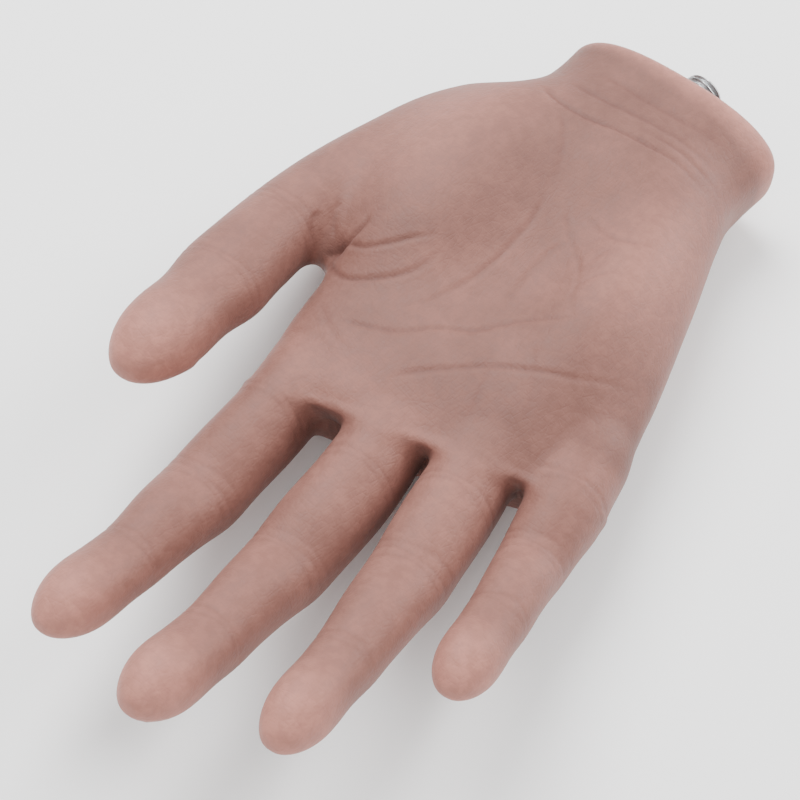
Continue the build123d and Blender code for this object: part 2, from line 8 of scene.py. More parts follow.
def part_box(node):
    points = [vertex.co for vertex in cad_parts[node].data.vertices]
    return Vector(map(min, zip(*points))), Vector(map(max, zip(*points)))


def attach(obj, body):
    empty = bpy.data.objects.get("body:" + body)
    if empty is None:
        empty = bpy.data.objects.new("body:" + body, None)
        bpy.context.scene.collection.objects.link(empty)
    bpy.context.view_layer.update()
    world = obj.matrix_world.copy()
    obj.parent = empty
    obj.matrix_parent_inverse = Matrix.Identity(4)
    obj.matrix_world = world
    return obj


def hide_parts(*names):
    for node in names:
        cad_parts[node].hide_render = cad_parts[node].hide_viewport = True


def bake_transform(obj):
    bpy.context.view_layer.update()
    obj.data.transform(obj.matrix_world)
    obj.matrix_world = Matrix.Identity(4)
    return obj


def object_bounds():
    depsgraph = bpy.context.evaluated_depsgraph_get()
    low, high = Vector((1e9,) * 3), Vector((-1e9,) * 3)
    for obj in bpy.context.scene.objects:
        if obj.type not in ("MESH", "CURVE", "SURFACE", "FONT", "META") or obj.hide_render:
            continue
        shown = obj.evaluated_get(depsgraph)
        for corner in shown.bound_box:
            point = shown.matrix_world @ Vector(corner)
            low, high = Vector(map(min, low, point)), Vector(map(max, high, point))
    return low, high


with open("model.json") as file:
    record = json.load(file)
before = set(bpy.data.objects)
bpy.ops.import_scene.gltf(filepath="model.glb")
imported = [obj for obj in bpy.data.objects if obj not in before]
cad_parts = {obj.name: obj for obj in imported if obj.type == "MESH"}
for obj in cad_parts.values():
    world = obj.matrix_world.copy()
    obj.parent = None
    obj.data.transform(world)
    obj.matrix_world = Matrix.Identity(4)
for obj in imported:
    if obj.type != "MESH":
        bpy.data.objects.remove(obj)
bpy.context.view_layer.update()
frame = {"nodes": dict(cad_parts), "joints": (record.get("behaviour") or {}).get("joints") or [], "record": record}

MM = 0.001
GRID = 0.62      # spacing of the cells in which the skin is meshed
FAR = 9.0                               # distance given to points well outside a limb
TABLE_STEP = 1.0

# ---- the hand's driving dimensions -----------------------------------------------------------------
# Palm and cuff, from the rim to the webs: x, y, turn of the section from -Y towards +X, half width,
# depth on the palm side and depth on the back.
PALM_LINE = [
    (-0.7, 10.5, -2, 31.0, 15.2, 17.0),
    (0.9, -7.0, 0, 30.2, 15.4, 17.0),
    (2.2, -20.0, 6, 32.4, 16.7, 17.4),
    (6.6, -46.0, 12, 37.4, 13.6, 17.0),
    (16.6, -76.5, 16, 40.3, 12.8, 15.2),
    (23.5, -99.5, 20, 40.0, 11.1, 13.4),
    (25.5, -107.4, 22, 37.8, 9.2, 12.9),
]
RIM_Y = 9.4              # the cuff's free edge at its middle
RIM_SLOPE = 0.075        # of the free edge, further out at the little finger's side
SOCKET_Y = -8.3          # end of the cuff's socket, just past the wrist disc's inner face
CUFF_WALL = 3.2
SOCKET_WALL_BLEND = 2.2
RIM_ROUNDING = 4.4
# Thumb's metacarpal: x, y, z, turn, rise, half width, depth on the palm side, depth on the back.
THUMB_BASE_LINE = [
    (-32.0, -19.0, -2.5, 5, 4, 7.9, 9.2, 11.5),
    (-35.0, -33.0, -2.4, 3, 4, 11.7, 12.0, 14.4),
    (-37.9, -54.0, -1.6, 2, 7, 12.4, 12.7, 14.2),
    (-39.4, -73.0, 0.6, 2, 9, 11.6, 11.7, 12.2),
]
# Fingers: rise of the tip segment and its length, the half widths at the root, mid proximal, middle hinge,
# mid middle, tip hinge and pad, and the half depths at the root, the middle hinge, the tip hinge and pad;
# then how far the root is set over towards the little finger, and how the tip turns that way, in degrees.
FINGERS = {
    "index": dict(tip=(18.0, 26.4), width=(9.0, 9.2, 9.1, 8.4, 7.3, 7.4), depth=(9.3, 8.2, 6.8, 6.6),
                  over=0.7, lean=-0.5),
    "middle": dict(tip=(22.5, 24.9), width=(9.5, 9.6, 8.9, 7.9, 7.1, 7.2), depth=(9.4, 8.4, 7.0, 6.7),
                   over=1.1, lean=-1.5),
    "ring": dict(tip=(17.5, 25.5), width=(9.3, 9.1, 8.7, 7.9, 6.8, 6.5), depth=(9.0, 8.0, 6.6, 6.3),
                 over=-0.4, lean=-2.0),
    "pinky": dict(tip=(14.5, 22.4), width=(8.5, 7.9, 7.3, 6.8, 6.4, 6.3), depth=(8.6, 7.2, 6.2, 5.8),
                  over=0.7, lean=-2.4),
}
THUMB = dict(tip=(10.0, 35.6), width=(10.2, 10.4, 10.8, 9.5), depth=(10.0, 9.1, 8.2), lean=0.6)
ROOT_BACK = 24.0         # how far a finger's limb is carried back into the palm
ROOT_FULLNESS = 1.13     # of a finger's depth at its root, on the palm side
PALM_SHARE, BACK_SHARE = 0.53, 0.48      # depths between two hinges, of the sum of the depths at them
FINGER_POWER, PALM_POWER = 2.15, 2.5     # how square a cross-section is: 2 is an ellipse
START_DOME = 9.0         # length over which a finger's hidden end is rounded
FINGER_END_DOME, THUMB_END_DOME = 0.42, 0.4      # rounded length of a tip, of its segment's length
PALM_END_DOME = 3.0
# A tip segment: share of its length, and its width, palm depth and back depth there against the pad's
TIP_SHAPE = [
    (0.28, 1.0, 0.98, 0.98),
    (0.52, 1.02, 1.12, 0.94),
    (0.74, 0.97, 1.06, 0.84),
    (1.0, 0.88, 0.9, 0.7),
]
FINGER_BLEND = 1.2       # radius with which neighbouring fingers run together
PALM_BLEND = 3.6
WEB_SLANT = 0.48         # the webs reach further towards the fingers on the palm side
THUMB_BLEND = 7.0
# Soft masses: x, y, z, half lengths across, along and through, turn, and the radius of their blend
MASSES = [
    (-20.0, -50.0, 5.0, 17.0, 31.0, 12.5, 12, 12.0),     # ball of the thumb
    (32.4, -56.0, 2.0, 12.2, 34.0, 13.6, 14, 10.0),      # heel of the palm, little finger's side
    (-26.7, -68.6, -1.0, 9.0, 16.4, 7.0, 8, 7.0),        # web between thumb and palm
]
# Shallow relief on the palm (+1) or the back (-1): side, x, y, half widths, turn and height
RELIEF = [
    (1, 13.0, -68.0, 13.0, 20.0, -20, -2.2),             # hollow of the palm
    (1, 7.5, -112.0, 8.0, 5.0, 10, 1.1),
    (1, 31.0, -106.0, 9.0, 7.0, 14, 0.3),
    (1, 47.0, -95.0, 8.0, 7.0, 18, 0.3),
    (1, 2.0, -4.0, 16.0, 4.0, 0, -0.6),
    (1, 30.0, -40.0, 10.0, 14.0, 14, 0.8),
    (-1, -5.0, -106.0, 7.5, 8.0, 12, 1.7),               # knuckles
    (-1, 17.5, -104.0, 7.5, 8.0, 14, 2.0),
    (-1, 36.5, -96.0, 7.0, 8.0, 17, 1.8),
    (-1, 50.0, -82.0, 6.5, 7.0, 19, 1.5),
    (-1, 6.0, -110.0, 4.0, 7.0, 13, -0.2),
    (-1, 27.5, -107.0, 4.0, 7.0, 15, -1.1),
    (-1, 44.5, -96.0, 4.0, 6.0, 18, -1.0),
    (-1, 22.0, -4.0, 6.0, 6.0, 0, 1.6),                  # head of the ulna
    (-1, -8.0, -60.0, 6.0, 26.0, 14, -0.8),
]
# Tendons and veins on the back: points, half width and height
TENDONS = [
    ([(2, -30), (-1, -66), (-5, -100)], 1.9, 0.7),
    ([(6, -30), (11, -66), (17, -100)], 1.9, 0.8),
    ([(10, -30), (22, -62), (35, -92)], 1.8, 0.7),
    ([(14, -30), (32, -56), (48, -80)], 1.7, 0.6),
    ([(-18, -30), (-14, -52), (2, -70), (10, -88)], 1.2, 0.45),
    ([(20, -24), (24, -50), (20, -70), (27, -90)], 1.2, 0.4),
    ([(32, -40), (38, -62), (43, -82)], 1.1, 0.4),
]
# Lines of the palm: points, depth, half width and how strongly they are darkened with painted shade
PALM_LINES = [
    ([(-22, -19), (-14, -21), (-5, -20.5), (2, -18.5), (10, -17), (17, -15.5), (25, -15.5), (32, -14)],
     0.6, 0.7, 0.9),
    ([(-18, -13), (-8, -13), (3, -11), (14, -9), (23, -8.5), (31, -8)], 0.35, 0.9, 0.6),
    ([(8, -13.5), (16, -12), (24, -12), (31, -12)], 0.3, 0.6, 0.6),
    ([(-14, -5.5), (0, -5), (14, -3), (25, -1)], 0.3, 1.1, 0.45),
    ([(2.5, -43), (5, -49), (6.5, -58), (7, -68), (5.5, -78.5), (3.5, -85), (-3, -91.5)], 0.42, 0.62, 0.6),
    ([(-7, -100), (-1, -97.5), (5.5, -94), (12, -86), (17, -82), (22, -74), (31, -66.5), (36.5, -56)],
     0.4, 0.62, 0.6),
    ([(13, -103), (17, -97.5), (22, -91.5), (27, -86), (35, -81), (42, -76.5), (47, -71), (53, -64)],
     0.42, 0.65, 0.6),
    ([(15, -49), (14, -55), (14.5, -61.5), (16, -68), (18, -77)], 0.28, 0.6, 0.5),
    ([(8.5, -42.5), (13.5, -47), (21.5, -53), (25, -57), (28, -62.5), (32.5, -66), (37.5, -71)],
     0.22, 0.6, 0.4),
    ([(13.5, -41), (18, -42.5), (23.5, -43), (28.5, -41), (33.5, -36.5)], 0.25, 0.6, 0.45),
    ([(26, -58.5), (27, -55.5), (30, -51), (33, -47.5)], 0.2, 0.6, 0.35),
    ([(-10, -24), (-5, -29), (0, -36), (3, -44)], 0.22, 0.65, 0.4),
    ([(23.5, -52.5), (24.5, -47), (27, -44)], 0.18, 0.6, 0.3),
    ([(24, -82), (30, -92), (34, -103)], 0.18, 0.6, 0.3),
    ([(-14, -98), (-4, -103), (5, -104)], 0.18, 0.7, 0.3),
    ([(30, -76), (40, -88), (44, -96)], 0.15, 0.6, 0.25),
    ([(-22.5, -83), (-16, -82), (-13, -79.5), (-8, -73), (-4.5, -68)], 0.6, 0.62, 0.9),
    ([(-25, -86.5), (-19.5, -89), (-15, -90), (-9, -87), (-3.5, -80), (-2, -69)], 0.55, 0.7, 1.0),
    ([(-26, -87), (-23, -84.5), (-21, -80), (-21, -77), (-23, -73.5)], 0.9, 0.65, 0.9),
    ([(-31, -76), (-29.5, -79.5), (-27.5, -81.5), (-23.5, -83.5)], 0.5, 0.7, 0.6),
    ([(-32, -82), (-30.5, -85), (-27.5, -88)], 0.4, 0.7, 0.5),
]
LINE_DEPTH, LINE_SHADE = 0.8, 0.75        # how far all of the lines are pressed in and darkened with painted shade
LINE_STEP = 0.5          # between the points at which the distance from a line is taken
LINE_FADE_IN, LINE_FADE_OUT = 0.1, 0.45  # shares of a line's length over which it fades at its ends
WEB_POCKET = (-23.5, -84.8, 2.2, 1.6)    # x, y, half width and depth of the pucker in the thumb's web
# how strongly painted shade darkens the pucker in the thumb's web
WEB_POCKET_SHADE = 0.8
# Creases across a finger's palm side: distance past the hinge, depth, half width and how far they bow
ROOT_CREASES = [(-4.8, 0.17, 0.5, 1.5), (-2.6, 0.08, 0.45, 1.2)]
MIDDLE_CREASES = [(-1.6, 0.12, 0.48, -0.8), (0.4, 0.16, 0.48, 0.5), (2.4, 0.07, 0.45, 0.9)]
TIP_CREASES = [(-0.4, 0.16, 0.48, 0.9), (1.4, 0.07, 0.45, 0.7)]
CREASE_DEPTH, CREASE_SHADE = 0.7, 0.26    # how far all of the creases are pressed in and darkened with painted shade
WRINKLES = 3             # to each side of the one over a knuckle's hinge
WRINKLE_GAP, WRINKLE_WIDENING = 1.5, 0.12
WRINKLE_DEPTH, WRINKLE_HALF_WIDTH = 0.3, 0.5
KNUCKLE_HEIGHT, KNUCKLE_HALF_LENGTH = 0.35, 5.0
# Rosy areas: x, y, half widths across and along the hand, and strength
ROSY_AREAS = [
    (-30, -48, 16, 28, 0.5),                             # ball of the thumb
    (36, -42, 14, 22, 0.6),                              # heel of the palm
]
ROSY_PADS = (-112, 10, 0.3)              # y, half length and strength, at the fingers' roots
RIM_GLOW_FROM, RIM_GLOW_TO = 9.0, 1.0    # distances in from the rim between which the skin grows rosy and lighter: partly rosy tone, partly a painted highlight and glow on the thin rim
# Nails: length and place of the middle as shares of the tip segment's, then millimetres
NAIL_LENGTH, NAIL_CENTRE = 0.48, 0.66
NAIL_HALF_ANGLE = 0.95   # radians to each side of the finger's middle line
NAIL_LIFT, NAIL_EDGE_DROP = 0.55, 0.75   # over the skin at its middle, and down from there at its edge
NAIL_THICKNESS = 0.8
NAIL_ROWS, NAIL_COLUMNS = 33, 25


# ---- fields ----------------------------------------------------------------------------------------
def unit(vector):
    return vector / np.linalg.norm(vector)


def smooth_curve(knots, values, at):
    """Smooth curve through the values at the knots, read at the places in at."""
    gap = np.diff(knots)[:, None]
    slope = np.diff(values, axis=0) / gap
    inner = (slope[:-1] * gap[1:] + slope[1:] * gap[:-1]) / (gap[1:] + gap[:-1])
    tangent = np.vstack([slope[:1], inner, slope[-1:]])
    i = np.clip(np.searchsorted(knots, at, side="right") - 1, 0, len(knots) - 2)
    g = gap[i]
    t = (at - knots[i])[:, None] / g
    start = (2 * t**3 - 3 * t**2 + 1) * values[i] + (t**3 - 2 * t**2 + t) * g * tangent[i]
    end = (3 * t**2 - 2 * t**3) * values[i + 1] + (t**3 - t**2) * g * tangent[i + 1]
    return start + end


def knots_of(points):
    return np.concatenate([[0.0], np.cumsum(np.linalg.norm(np.diff(points, axis=0), axis=1))])


def smooth_step(low, high, value):
    t = np.clip((value - low) / (high - low), 0, 1)
    return t * t * (3 - 2 * t)


def join(a, b, radius):
    """Union of two fields, rounded where they meet."""
    h = np.clip(0.5 + 0.5 * (b - a) / radius, 0, 1)
    return b * (1 - h) + a * h - radius * h * (1 - h)


def overlap(a, b, radius):
    """What two fields have in common, rounded where they meet."""
    return -join(-a, -b, radius)


def rounded_distance(parts, sizes, power):
    """Distance outside a rounded form, from the offset over the size in each direction."""
    shares = [np.abs(part) / size for part, size in zip(parts, sizes)]
    total = np.maximum(sum(share**power for share in shares), 1e-6) ** (1 / power)
    steepness = np.sqrt(sum((share ** (power - 1) / size) ** 2 for share, size in zip(shares, sizes)))
    steepness = steepness * total ** (1 - power)
    return (total - 1) / np.maximum(steepness, 0.5 / np.maximum(sizes[0], sizes[1]))


class Limb:
    """Rounded limb along a smooth line, with a width and two depths of its own all along it.

    Its stations are x, y, z, turn, rise, half width, depth on the palm side and depth on the back. Its
    domes are the lengths over which its ends are rounded, and end_slant carries the end further along
    on the palm side, by that share of the height there.
    """

    def __init__(self, stations, power, start_dome=0.0, end_dome=0.0, end_slant=0.0):
        stations = np.array(stations, float)
        knots = knots_of(stations[:, :3])
        self.length, self.power = knots[-1], power
        self.start_dome, self.end_dome, self.end_slant = start_dome, end_dome, end_slant
        places = np.arange(0, self.length + 2 * TABLE_STEP, TABLE_STEP)
        table = smooth_curve(knots, stations, np.minimum(places, self.length))
        turn, rise = np.radians(table[:, 3]), np.radians(table[:, 4])
        flat = np.zeros_like(turn)
        normal = np.stack([np.sin(turn) * np.cos(rise), -np.cos(turn) * np.cos(rise), np.sin(rise)], 1)
        across = np.stack([np.cos(turn), np.sin(turn), flat], 1)
        self.table = np.hstack([table[:, :3], normal, across, np.cross(normal, across), table[:, 5:]])
        self.direction = unit(table[-1, :3] - table[0, :3])
        reach = table[:, 5:].max() + FAR
        self.low, self.high = table[:, :3].min(0) - reach, table[:, :3].max(0) + reach

    def rows(self, along):
        place = np.clip(along, 0, self.length) / TABLE_STEP
        i = place.astype(int)
        share = (place - i)[:, None]
        return self.table[i] * (1 - share) + self.table[i + 1] * share

    def local(self, points):
        """Distance along the limb, across it and out of its palm side, and the table's rows there."""
        along = (points - self.table[0, :3]) @ self.direction
        for _ in range(4):
            rows = self.rows(along)
            clamped = np.clip(along, 0, self.length)
            along = clamped + np.einsum("ij,ij->i", points - rows[:, :3], rows[:, 3:6])
        rows = self.rows(along)
        offset = points - rows[:, :3]
        across = np.einsum("ij,ij->i", offset, rows[:, 6:9])
        up = np.einsum("ij,ij->i", offset, rows[:, 9:12])
        return along, across, up, rows

    def distance(self, points):
        along, across, up, rows = self.local(points)
        parts, sizes = [across, up], [rows[:, 12], np.where(up > 0, rows[:, 13], rows[:, 14])]
        past_end = along - self.length + self.end_dome - self.end_slant * np.maximum(up, 0)
        for dome, past in ((self.start_dome, self.start_dome - along), (self.end_dome, past_end)):
            if dome:
                parts.append(np.maximum(past, 0))
                sizes.append(np.full_like(across, dome))
        return rounded_distance(parts, sizes, self.power)

    def surface(self, along, angle):
        """Points of the limb's back at an angle from its middle line, and the way out of it there."""
        row = self.rows(along)
        beyond = (along - np.clip(along, 0, self.length))[:, None]
        past = np.maximum(along - self.length + self.end_dome, 0) / max(self.end_dome, 1e-6)
        scale = np.sqrt(np.maximum(1 - past**2, 0.02))
        out = np.sin(angle)[:, None] * row[:, 6:9] - np.cos(angle)[:, None] * row[:, 9:12]
        radius = 1 / np.sqrt((np.sin(angle) / row[:, 12]) ** 2 + (np.cos(angle) / row[:, 14]) ** 2)
        return row[:, :3] + beyond * row[:, 3:6] + out * (radius * scale)[:, None], out


def near(limb, points):
    return np.all((points > limb.low) & (points < limb.high), axis=1)


def limb_distance(limb, points):
    """A limb's distance field, worked out only near it."""
    value = np.full(len(points), FAR)
    close = near(limb, points)
    if close.any():
        value[close] = np.minimum(limb.distance(points[close]), FAR)
    return value


def turned(x, y, turn):
    """Offsets across and along a direction that is turned from -Y towards +X."""
    turn = np.radians(turn)
    return x * np.cos(turn) + y * np.sin(turn), x * np.sin(turn) - y * np.cos(turn)


def mass_distance(mass, points):
    x, y, z, across_size, along_size, through_size, turn, _ = mass
    across, along = turned(points[:, 0] - x, points[:, 1] - y, turn)
    sizes = [np.full(len(points), size) for size in (across_size, along_size, through_size)]
    return rounded_distance([across, along, points[:, 2] - z], sizes, 2.0)


# ---- the limbs, from the CAD's hinges ----------------------------------------------------------------
JOINTS = {joint["name"]: joint for joint in frame["joints"]}


def hinge_place(name):
    return np.array(JOINTS[name]["pos_m"]) / MM


def direction(turn, rise):
    turn, rise = np.radians(turn), np.radians(rise)
    return np.array([np.sin(turn) * np.cos(rise), -np.cos(turn) * np.cos(rise), np.sin(rise)])


def turn_of(name):
    axis = JOINTS[name]["axis"]
    return np.degrees(np.arctan2(-axis[1], -axis[0]))


def rise_between(a, b):
    return np.degrees(np.arcsin((b - a)[2] / np.linalg.norm(b - a)))


def tip_stations(place, turn, spec, pad_width, hinge_depth, pad_depth):
    """Stations of a tip segment past its hinge: swelling to the pad and drawn in towards the end."""
    (rise, length), turn = spec["tip"], turn + spec["lean"]
    stations = []
    for share, width, palm_depth, back_depth in TIP_SHAPE:
        depth = hinge_depth + (pad_depth - hinge_depth) * min(share / 0.5, 1)
        point = place + direction(turn, rise) * length * share
        stations.append((*point, turn, rise, width * pad_width, palm_depth * depth, back_depth * depth))
    return stations


def finger_limb(name, spec):
    """A finger from inside the palm to its tip, and how far along it each hinge lies."""
    root, middle, tip = (hinge_place(f"{name}_{part}") for part in ("root", "middle", "tip"))
    turn = turn_of(f"{name}_root")
    rises = [rise_between(root, middle), rise_between(middle, tip), spec["tip"][0]]
    w, d = spec["width"], spec["depth"]
    root = root + spec["over"] * np.array([1.0, 0, 0])
    back = root - direction(turn, 0) * ROOT_BACK
    half_back = root - direction(turn, rises[0] / 2) * ROOT_BACK / 2
    stations = [
        (*back, turn, 0, 0.86 * w[0], 0.86 * d[0], 0.86 * d[0]),
        (*half_back, turn, rises[0] / 2, 0.97 * w[0], ROOT_FULLNESS * d[0], 0.95 * d[0]),
        (*root, turn, rises[0] * 0.8, w[0], ROOT_FULLNESS * d[0], d[0]),
        (*(root + middle) / 2, turn, rises[0], w[1], PALM_SHARE * (d[0] + d[1]), BACK_SHARE * (d[0] + d[1])),
        (*middle, turn, (rises[0] + rises[1]) / 2, w[2], 0.95 * d[1], 1.05 * d[1]),
        (*(middle + tip) / 2, turn, rises[1], w[3], PALM_SHARE * (d[1] + d[2]), BACK_SHARE * (d[1] + d[2])),
        (*tip, turn, (rises[1] + rises[2]) / 2, w[4], 0.95 * d[2], 1.03 * d[2]),
        *tip_stations(tip, turn, spec, w[5], d[2], d[3]),
    ]
    limb = Limb(stations, FINGER_POWER, START_DOME, FINGER_END_DOME * spec["tip"][1])
    return limb, hinge_marks(limb, [hinge_place(f"{name}_root"), middle, tip])


def thumb_limb(spec):
    root, tip = hinge_place("thumb_root"), hinge_place("thumb_tip")
    turn = turn_of("thumb_root")
    rise = rise_between(root, tip)
    w, d = spec["width"], spec["depth"]
    stations = [
        *THUMB_BASE_LINE,
        (*root, 0.6 * turn, 10.5, w[0], d[0], d[0]),
        (*(root + tip) / 2, turn, rise, w[1], PALM_SHARE * (d[0] + d[1]), BACK_SHARE * (d[0] + d[1])),
        (*tip, turn, (rise + spec["tip"][0]) / 2, w[2], 0.97 * d[1], 1.02 * d[1]),
        *tip_stations(tip, turn, spec, w[3], d[1], d[2]),
    ]
    limb = Limb(stations, FINGER_POWER, START_DOME, THUMB_END_DOME * spec["tip"][1])
    return limb, hinge_marks(limb, [root, tip])


def hinge_marks(limb, hinges):
    return [float(limb.local(hinge[None])[0][0]) for hinge in hinges]


PALM = Limb([(x, y, 0, turn, 0, *sizes) for x, y, turn, *sizes in PALM_LINE], PALM_POWER,
            end_dome=PALM_END_DOME, end_slant=WEB_SLANT)
LIMBS = {name: finger_limb(name, spec) for name, spec in FINGERS.items()}
LIMBS["thumb"] = thumb_limb(THUMB)


def hand_distance(points):
    """Distance from the silicone's surface: negative inside it, before the fine relief."""
    fingers = np.full(len(points), FAR)
    for name in FINGERS:
        fingers = join(fingers, limb_distance(LIMBS[name][0], points), FINGER_BLEND)
    palm = PALM.distance(points)
    body = palm
    for mass in MASSES[:2]:
        body = join(body, mass_distance(mass, points), mass[-1])
    body = join(body, fingers, PALM_BLEND)
    thumb = join(limb_distance(LIMBS["thumb"][0], points), mass_distance(MASSES[2], points), MASSES[2][-1])
    body = join(body, thumb, THUMB_BLEND)
    body = overlap(body, points[:, 1] - RIM_Y - RIM_SLOPE * points[:, 0], RIM_ROUNDING)
    hollow = overlap(palm + CUFF_WALL, SOCKET_Y - points[:, 1], 1.0)
    return overlap(body, -hollow, SOCKET_WALL_BLEND)


# ---- meshing ---------------------------------------------------------------------------------------
CORNERS = [(i, j, k) for i in (0, 1) for j in (0, 1) for k in (0, 1)]
EDGES = [(a, b) for n, a in enumerate(CORNERS) for b in CORNERS[n + 1:]
         if sum(np.abs(np.subtract(a, b))) == 1]


def sample_grid(low, high):
    """The hand's field at the points of a regular grid, one layer at a time."""
    axes = [np.arange(low[i], high[i] + GRID, GRID) for i in range(3)]
    x, y = np.meshgrid(axes[0], axes[1], indexing="ij")
    field = np.empty((len(axes[0]), len(axes[1]), len(axes[2])), np.float32)
    for k, z in enumerate(axes[2]):
        layer = np.stack([x.ravel(), y.ravel(), np.full(x.size, z)], 1)
        field[:, :, k] = hand_distance(layer).reshape(x.shape)
    return field, np.array(low, float)


def surface_net(field, low):
    """Quads through the cells of a grid where the field changes sign, one vertex to a cell."""
    inside = field < 0
    cells = tuple(n - 1 for n in field.shape)

    def corner(values, c):
        return values[tuple(slice(o, o + n) for o, n in zip(c, cells))]

    count = sum(corner(inside, c).astype(np.int8) for c in CORNERS)
    active = (count > 0) & (count < 8)
    where = np.argwhere(active)
    index = np.full(cells, -1)
    index[active] = np.arange(len(where))
    values = {c: field[tuple((where + c).T)] for c in CORNERS}
    total, crossings = np.zeros((len(where), 3)), np.zeros(len(where))
    for a, b in EDGES:
        crossed = (values[a] < 0) != (values[b] < 0)
        share = values[a][crossed] / (values[a][crossed] - values[b][crossed])
        total[crossed] += np.array(a) + share[:, None] * np.subtract(b, a)
        crossings[crossed] += 1
    vertices = low + (where + total / crossings[:, None]) * GRID
    quads = []
    for axis in range(3):
        step = np.eye(3, dtype=int)[axis]
        u, v = np.eye(3, dtype=int)[(axis + 1) % 3], np.eye(3, dtype=int)[(axis + 2) % 3]
        size = np.array(field.shape) - step
        first = inside[tuple(slice(0, n) for n in size)]
        second = inside[tuple(slice(o, o + n) for o, n in zip(step, size))]
        for leaving in (True, False):
            at = np.argwhere((first & ~second) if leaving else (~first & second))
            at = at[np.all((at - u - v) >= 0, axis=1)]
            ring = [index[tuple((at - shift).T)] for shift in (0 * u, u, u + v, v)]
            quads.append(np.stack(ring if leaving else ring[::-1], 1))
    return vertices, np.vstack(quads)


def settle(vertices):
    """Moves vertices onto the field's own surface, and gives the way out there."""
    gap = 0.05
    for _ in range(2):
        value = hand_distance(vertices)
        slope = np.stack([hand_distance(vertices + gap * step) - value for step in np.eye(3)], 1) / gap
        steepness = np.maximum((slope**2).sum(1), 0.2)
        vertices = vertices - np.clip(value / steepness, -GRID, GRID)[:, None] * slope
    return vertices, slope / np.linalg.norm(slope, axis=1)[:, None]


def vertex_normals(vertices, quads):
    a, b, c, d = (vertices[quads[:, i]] for i in range(4))
    face = np.cross(c - a, d - b)
    normals = np.zeros_like(vertices)
    for i in range(4):
        np.add.at(normals, quads[:, i], face)
    return normals / np.maximum(np.linalg.norm(normals, axis=1), 1e-9)[:, None]


# ---- fine relief -----------------------------------------------------------------------------------
def line_distance(points, line):
    """Distance from points to a smooth line through the given points, and the share along it, both flat."""
    line = np.array(line, float)
    knots = knots_of(line)
    samples = smooth_curve(knots, line, np.arange(0, knots[-1], LINE_STEP))
    best, place = np.full(len(points), 1e9), np.zeros(len(points))
    for i, sample in enumerate(samples):
        distance = ((points - sample) ** 2).sum(1)
        closer = distance < best
        best[closer] = distance[closer]
        place[closer] = i / (len(samples) - 1)
    return np.sqrt(best), place


def add_line(vertices, facing, line, depth, half_width, strength, height, tint):
    """Presses a line into the surface, or raises it, fading out at both of its ends, and darkens it with painted
    shade by its strength.
    """
    low, high = np.min(line, 0) - 4 * half_width, np.max(line, 0) + 4 * half_width
    near_line = np.all((vertices[:, :2] > low) & (vertices[:, :2] < high), axis=1) & (facing > 0.05)
    chosen = np.nonzero(near_line)[0]
    if not len(chosen):
        return
    distance, share = line_distance(vertices[chosen, :2], line)
    fade = smooth_step(0, LINE_FADE_IN, share) * smooth_step(0, LINE_FADE_OUT, 1 - share)
    fade *= smooth_step(0.05, 0.45, facing[chosen])
    groove = np.exp(-((distance / half_width) ** 2))
    shoulder = np.exp(-(((distance - 2.1 * half_width) / (1.1 * half_width)) ** 2))
    height[chosen] += -depth * fade * (groove - 0.12 * shoulder)
    # painted shade along the groove of the line
    shade_profile = np.exp(-((distance / (0.75 * half_width)) ** 2))
    tint[chosen] = np.maximum(tint[chosen], strength * fade * shade_profile)


def finger_marks(name, limb, marks, vertices, normals, height, tint, pink):
    """Creases across a finger's palm side darkened with painted shade, wrinkles over its knuckles, and the pink of
    its tip, partly rosy tone and partly painted glow through the thin tip.
    """
    chosen = np.nonzero(near(limb, vertices))[0]
    points = vertices[chosen]
    along, across, up, rows = limb.local(points)
    on_limb = smooth_step(2.5, 0.8, limb.distance(points)) * smooth_step(marks[0] - 14, marks[0] - 9, along)
    side = across / rows[:, 12]
    palmar = smooth_step(-0.25, 0.35, up / rows[:, 13]) * on_limb
    dorsal = smooth_step(-0.1, 0.5, -up / rows[:, 14]) * on_limb
    creases = []
    for number, mark in enumerate(marks):
        if number == 0 and name != "thumb":
            at_hinge = ROOT_CREASES
        elif number == len(marks) - 1:
            at_hinge = TIP_CREASES
        else:
            at_hinge = MIDDLE_CREASES
        creases += [(mark + past, *sizes) for past, *sizes in at_hinge]
    for place, depth, half_width, bow in creases:
        wander = 0.35 * np.sin(3.1 * side + 1.7 * place) + bow * side**2
        distance = np.abs(along - place - wander)
        groove = np.exp(-((distance / half_width) ** 2))
        shoulder = np.exp(-(((distance - 2.0 * half_width) / half_width) ** 2))
        height[chosen] += -CREASE_DEPTH * depth * palmar * (groove - 0.15 * shoulder)
        # painted shade in the crease's groove
        shade_profile = np.exp(-((distance / (0.8 * half_width)) ** 2))
        tint[chosen] = np.maximum(tint[chosen], CREASE_SHADE * palmar * shade_profile)
    for mark in marks[1:]:
        for step in range(-WRINKLES, WRINKLES + 1):
            place = mark + WRINKLE_GAP * step + WRINKLE_WIDENING * step * abs(step)
            wander = (0.5 + 0.3 * step) * side**2 + 0.25 * np.sin(4.3 * side + step)
            fade = dorsal * np.exp(-((step / 2.6) ** 2)) * np.exp(-((side / 0.75) ** 4))
            groove = np.exp(-(((along - place - wander) / WRINKLE_HALF_WIDTH) ** 2))
            height[chosen] += -WRINKLE_DEPTH * fade * groove
        height[chosen] += KNUCKLE_HEIGHT * dorsal * np.exp(-(((along - mark) / KNUCKLE_HALF_LENGTH) ** 2))
    # rosy fingertips: partly the silicone's rosy tone, partly painted glow of light through the thin tip
    tip = limb.length
    start = marks[-1] + 0.2 * (tip - marks[-1])
    pink[chosen] = np.maximum(pink[chosen], on_limb * (0.22 + 0.78 * smooth_step(start, tip - 3, along)))


